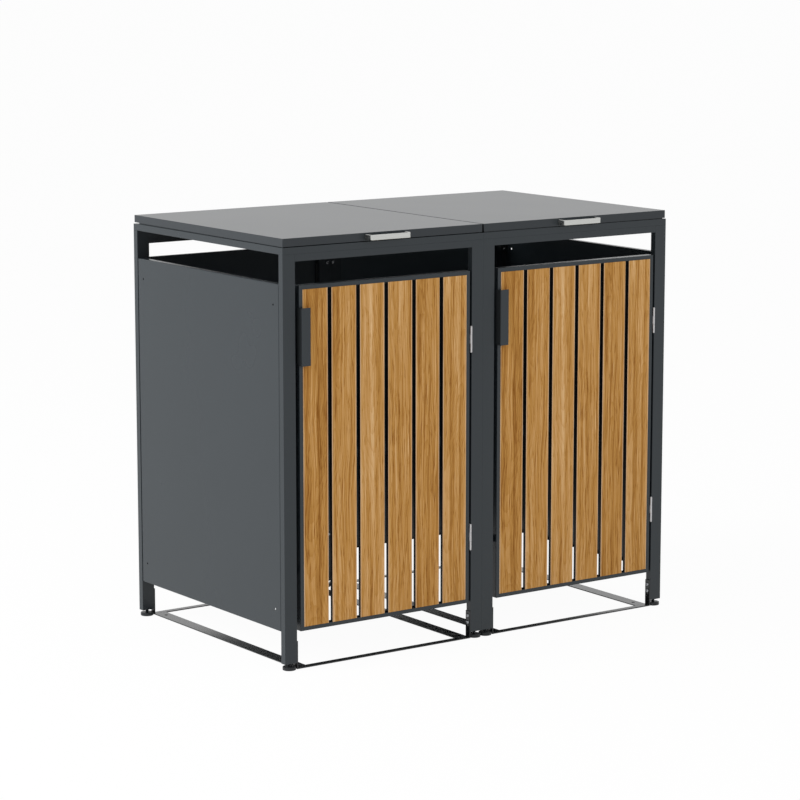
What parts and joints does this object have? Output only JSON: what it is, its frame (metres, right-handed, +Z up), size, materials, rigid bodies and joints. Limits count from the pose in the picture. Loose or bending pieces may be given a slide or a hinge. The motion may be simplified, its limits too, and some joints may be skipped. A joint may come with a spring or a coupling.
{
  "type": "wheelie bin store",
  "caption": "Free-standing double store for two wheelie bins: steel frame with recessed side and rear panels, hinged flat lids, slatted hinged doors and levelling feet.",
  "frame": {"origin": "on the ground under the middle of the whole object's box, lid grips and feet included", "axes": "+X to the right seen from the doors, +Y from the doors to the back, +Z up"},
  "size_m": [1.36, 0.835, 1.201],
  "materials": {
    "frame_steel": "anthracite powder coat, fine texture",
    "panel_steel": "anthracite powder coat, fine texture",
    "lid_steel": "anthracite powder coat, satin",
    "door_steel": "anthracite powder coat, fine texture",
    "slat_wood_look": "wood-grain finish on the front, anthracite edges and back",
    "satin_steel": "satin, unpainted",
    "zinc_steel": "bright zinc",
    "buffer_rubber": "matt",
    "catch_plastic": "matt"
  },
  "bodies": {
    "frame": {"frame_rails": "frame_steel", "lid_hinge_frame_leaves": "satin_steel", "lid_hinge_pins": "satin_steel", "door_hinge_post_leaves": "satin_steel", "door_hinge_pins": "satin_steel", "lid_buffers": "buffer_rubber", "door_catches": "catch_plastic", "ground_strip_bolts": "zinc_steel", "frame_bolts": "zinc_steel", "panel_screws": "zinc_steel", "side_panel_left": "panel_steel", "side_panel_right": "panel_steel", "ground_strip_side_1": "frame_steel", "ground_strip_side_2": "frame_steel", "ground_strip_side_3": "frame_steel", "ground_strip_side_4": "frame_steel", "front_posts_left": "frame_steel", "rear_posts_left": "frame_steel", "top_frame_left": "frame_steel", "rear_panel_left": "panel_steel", "ground_strip_front_left": "frame_steel", "ground_strip_rear_left": "frame_steel", "front_posts_right": "frame_steel", "rear_posts_right": "frame_steel", "top_frame_right": "frame_steel", "rear_panel_right": "panel_steel", "ground_strip_front_right": "frame_steel", "ground_strip_rear_right": "frame_steel"},
    "door_left": {"door_frame_left": "door_steel", "door_pull_left": "door_steel", "door_hinge_door_leaves_left": "satin_steel", "door_slat_left_1": "slat_wood_look", "door_slat_left_2": "slat_wood_look", "door_slat_left_3": "slat_wood_look", "door_slat_left_4": "slat_wood_look", "door_slat_left_5": "slat_wood_look", "door_slat_left_6": "slat_wood_look"},
    "lid_left": {"lid_left": "lid_steel", "lid_grip_left": "satin_steel", "lid_hinge_lid_leaves_left": "satin_steel"},
    "door_right": {"door_frame_right": "door_steel", "door_pull_right": "door_steel", "door_hinge_door_leaves_right": "satin_steel", "door_slat_right_1": "slat_wood_look", "door_slat_right_2": "slat_wood_look", "door_slat_right_3": "slat_wood_look", "door_slat_right_4": "slat_wood_look", "door_slat_right_5": "slat_wood_look", "door_slat_right_6": "slat_wood_look"},
    "lid_right": {"lid_right": "lid_steel", "lid_grip_right": "satin_steel", "lid_hinge_lid_leaves_right": "satin_steel"},
    "foot_front_1": {"foot_front_1": "zinc_steel"},
    "foot_front_2": {"foot_front_2": "zinc_steel"},
    "foot_front_3": {"foot_front_3": "zinc_steel"},
    "foot_front_4": {"foot_front_4": "zinc_steel"},
    "foot_rear_1": {"foot_rear_1": "zinc_steel"},
    "foot_rear_2": {"foot_rear_2": "zinc_steel"},
    "foot_rear_3": {"foot_rear_3": "zinc_steel"},
    "foot_rear_4": {"foot_rear_4": "zinc_steel"}
  },
  "joints": [
    {"name": "door_left_hinge", "type": "hinge", "parent": "frame", "child": "door_left", "pos_m": [-0.0435, -0.39, 0.5875], "axis": [0, 0, 1], "range_deg": [0, 100]},
    {"name": "door_right_hinge", "type": "hinge", "parent": "frame", "child": "door_right", "pos_m": [0.6365, -0.39, 0.5875], "axis": [0, 0, 1], "range_deg": [0, 100]},
    {"name": "lid_left_hinge", "type": "hinge", "parent": "frame", "child": "lid_left", "pos_m": [-0.34, 0.401, 1.1845], "axis": [-1, 0, 0], "range_deg": [0, 100]},
    {"name": "lid_right_hinge", "type": "hinge", "parent": "frame", "child": "lid_right", "pos_m": [0.34, 0.401, 1.1845], "axis": [-1, 0, 0], "range_deg": [0, 100]},
    {"name": "foot_front_1_screw", "type": "slide", "parent": "frame", "child": "foot_front_1", "axis": [0, 0, -1], "range_m": [-0.008, 0.012]},
    {"name": "foot_front_2_screw", "type": "slide", "parent": "frame", "child": "foot_front_2", "axis": [0, 0, -1], "range_m": [-0.008, 0.012]},
    {"name": "foot_front_3_screw", "type": "slide", "parent": "frame", "child": "foot_front_3", "axis": [0, 0, -1], "range_m": [-0.008, 0.012]},
    {"name": "foot_front_4_screw", "type": "slide", "parent": "frame", "child": "foot_front_4", "axis": [0, 0, -1], "range_m": [-0.008, 0.012]},
    {"name": "foot_rear_1_screw", "type": "slide", "parent": "frame", "child": "foot_rear_1", "axis": [0, 0, -1], "range_m": [-0.008, 0.012]},
    {"name": "foot_rear_2_screw", "type": "slide", "parent": "frame", "child": "foot_rear_2", "axis": [0, 0, -1], "range_m": [-0.008, 0.012]},
    {"name": "foot_rear_3_screw", "type": "slide", "parent": "frame", "child": "foot_rear_3", "axis": [0, 0, -1], "range_m": [-0.008, 0.012]},
    {"name": "foot_rear_4_screw", "type": "slide", "parent": "frame", "child": "foot_rear_4", "axis": [0, 0, -1], "range_m": [-0.008, 0.012]}
  ]
}
